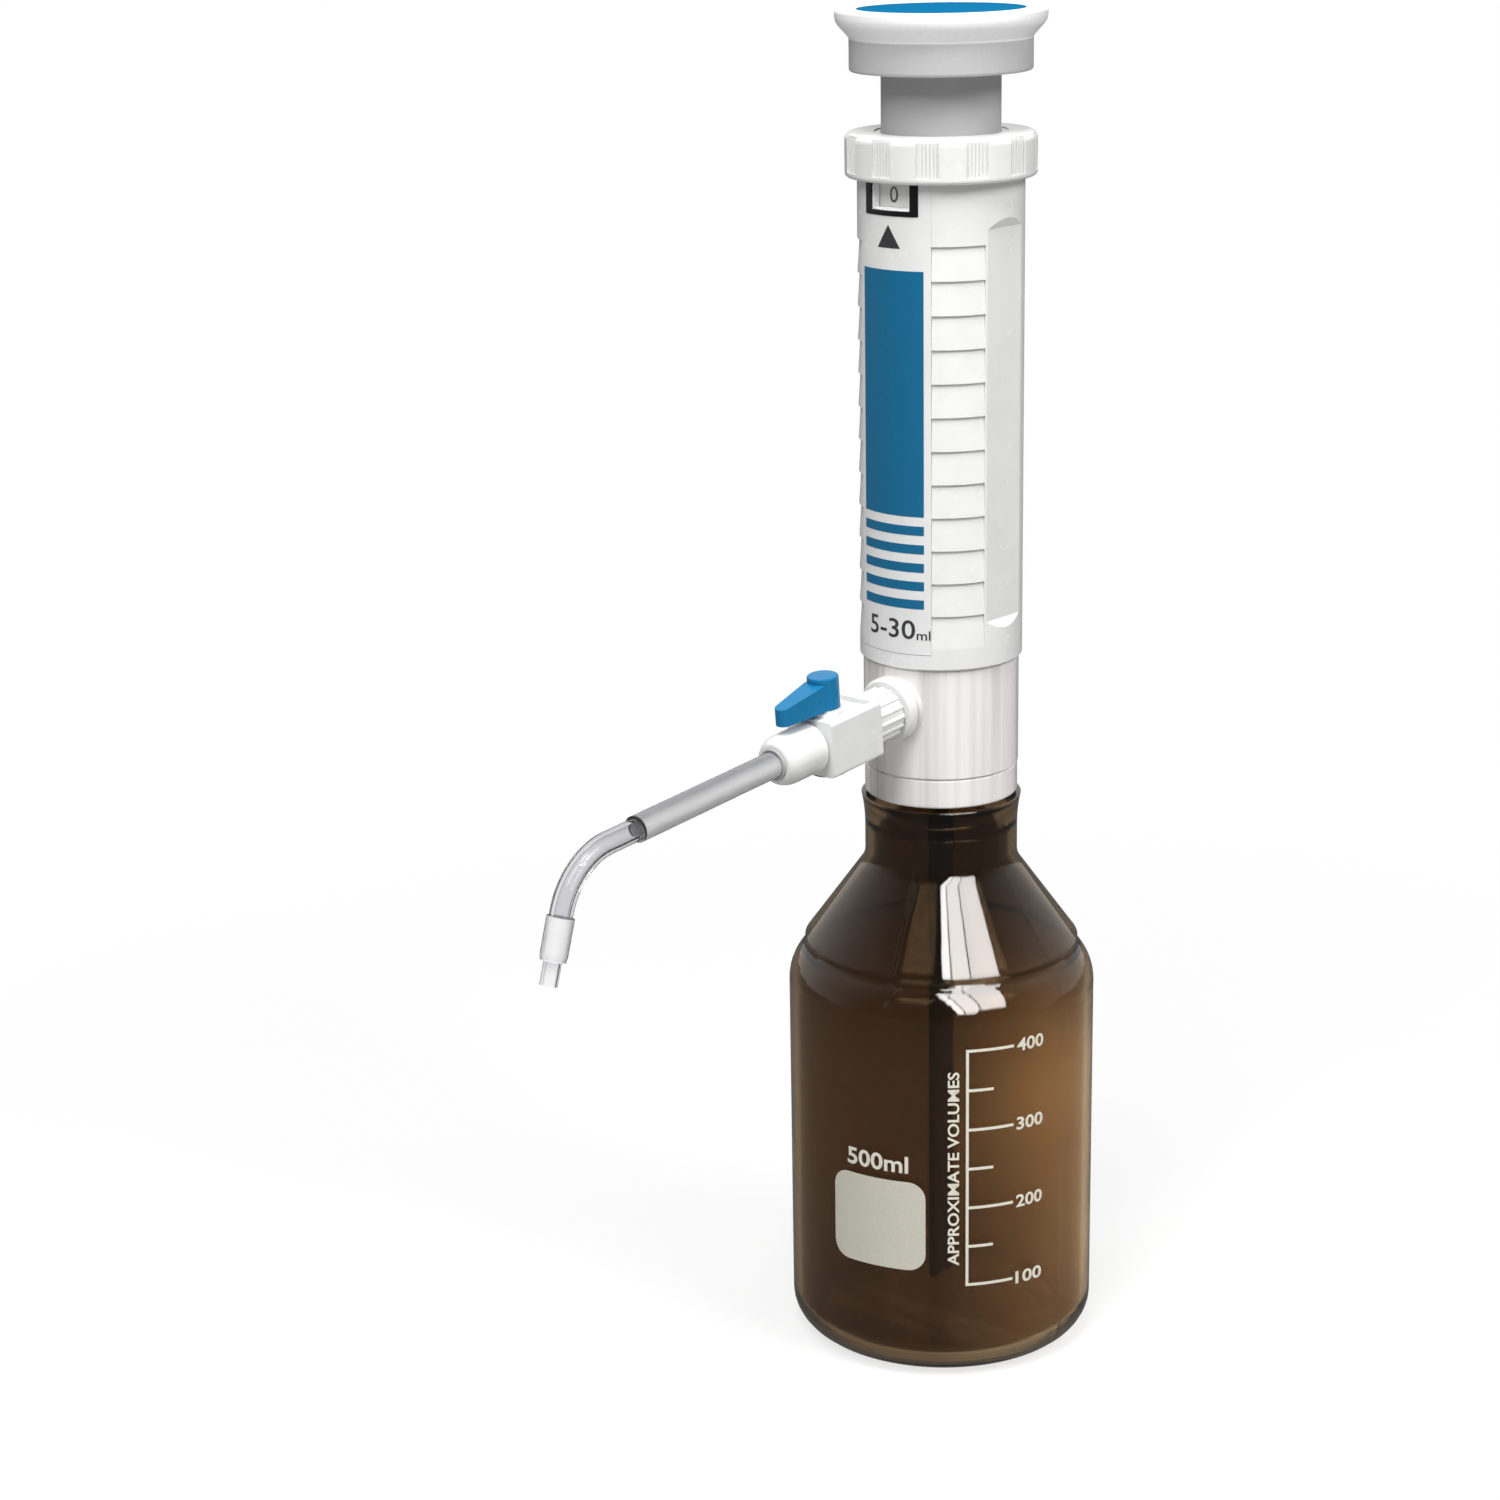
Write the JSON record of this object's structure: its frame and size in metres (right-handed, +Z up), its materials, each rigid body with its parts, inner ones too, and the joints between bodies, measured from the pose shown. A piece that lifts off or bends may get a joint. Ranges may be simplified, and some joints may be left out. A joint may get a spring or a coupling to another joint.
{
  "type": "bottle top dispenser",
  "caption": "Hand operated laboratory dispenser with plunger, dose ring, stopcock and bent discharge tube, screwed on an amber glass reservoir bottle.",
  "frame": {"origin": "centre of the bottle's base, on the surface that it stands on", "axes": "+Z up along the axis of bottle and dispenser, -Y to the front, where the discharge tube points"},
  "size_m": [0.086, 0.2009, 0.3729],
  "materials": {
    "amber_glass": "gloss",
    "white_abs": "gloss",
    "grey_white_pp": "satin",
    "disc_blue": "gloss",
    "lever_blue": "gloss",
    "black_abs": "satin",
    "clear_tube": "gloss",
    "cylinder_glass": "gloss",
    "ptfe": "matte",
    "drum_white": "satin",
    "brass_nut": "satin",
    "setting_metal": "satin",
    "steel": "satin",
    "ball_ceramic": "gloss"
  },
  "bodies": {
    "bottle": {"bottle": "amber_glass"},
    "collar": {"screw_collar": "white_abs", "bottle_gasket": "ptfe"},
    "dispenser": {"valve_block": "grey_white_pp", "valve_cover": "white_abs", "inlet_valve_seat": "steel", "inlet_cage": "steel", "dip_tube": "ptfe", "glass_cylinder": "cylinder_glass", "cylinder_seal": "ptfe", "barrel": "white_abs", "front_panel": "white_abs", "window_frame": "black_abs", "window_lens": "clear_tube", "guide_tube": "grey_white_pp", "stop_nut": "brass_nut", "outlet_fitting": "white_abs", "outlet_spring": "steel", "union_seal": "ptfe", "union_nut": "white_abs", "stopcock_body": "white_abs", "stopcock_washer": "ptfe", "nose_nut": "white_abs", "tube_sleeve": "clear_tube", "discharge_tube": "clear_tube", "tip_sleeve": "clear_tube"},
    "dose_ring": {"volume_ring": "white_abs", "guide_bush": "grey_white_pp", "setting_sleeve": "setting_metal", "number_drum": "drum_white"},
    "plunger": {"plunger_head": "white_abs", "head_disc": "disc_blue", "plunger_sleeve": "grey_white_pp", "piston_rod": "grey_white_pp", "rod_screw": "steel", "piston": "ptfe", "piston_seal": "ptfe"},
    "stopcock": {"stopcock_lever": "lever_blue", "stopcock_plug": "ptfe", "plug_clip": "steel"},
    "inlet_valve": {"inlet_ball": "ball_ceramic"},
    "outlet_valve": {"outlet_ball": "ball_ceramic"}
  },
  "joints": [
    {"name": "collar_lift", "type": "slide", "parent": "bottle", "child": "collar", "axis": [0, 0, 1], "range_m": [0, 0.17]},
    {"name": "dispenser_swivel", "type": "hinge", "parent": "collar", "child": "dispenser", "pos_m": [0, 0, 0.18166], "axis": [0, 0, 1], "continuous": true},
    {"name": "plunger_slide", "type": "slide", "parent": "dispenser", "child": "plunger", "axis": [0, 0, 1], "range_m": [-0.0144, 0.0467]},
    {"name": "dose_turn", "type": "hinge", "parent": "dispenser", "child": "dose_ring", "pos_m": [0, 0, 0.32931], "axis": [0, 0, 1], "range_deg": [0, 270]},
    {"name": "stopcock_turn", "type": "hinge", "parent": "dispenser", "child": "stopcock", "pos_m": [0, -0.04913, 0.18578], "axis": [0, -0.0828, 0.9966], "range_deg": [0, 90]},
    {"name": "inlet_lift", "type": "slide", "parent": "dispenser", "child": "inlet_valve", "axis": [0, 0, 1], "range_m": [0, 0.0015]},
    {"name": "outlet_lift", "type": "slide", "parent": "dispenser", "child": "outlet_valve", "axis": [0, -0.9966, -0.0828], "range_m": [0, 0.0012], "stiffness_N_per_m": 60, "springref_m": -0.001, "deforming": ["outlet_spring"]}
  ]
}
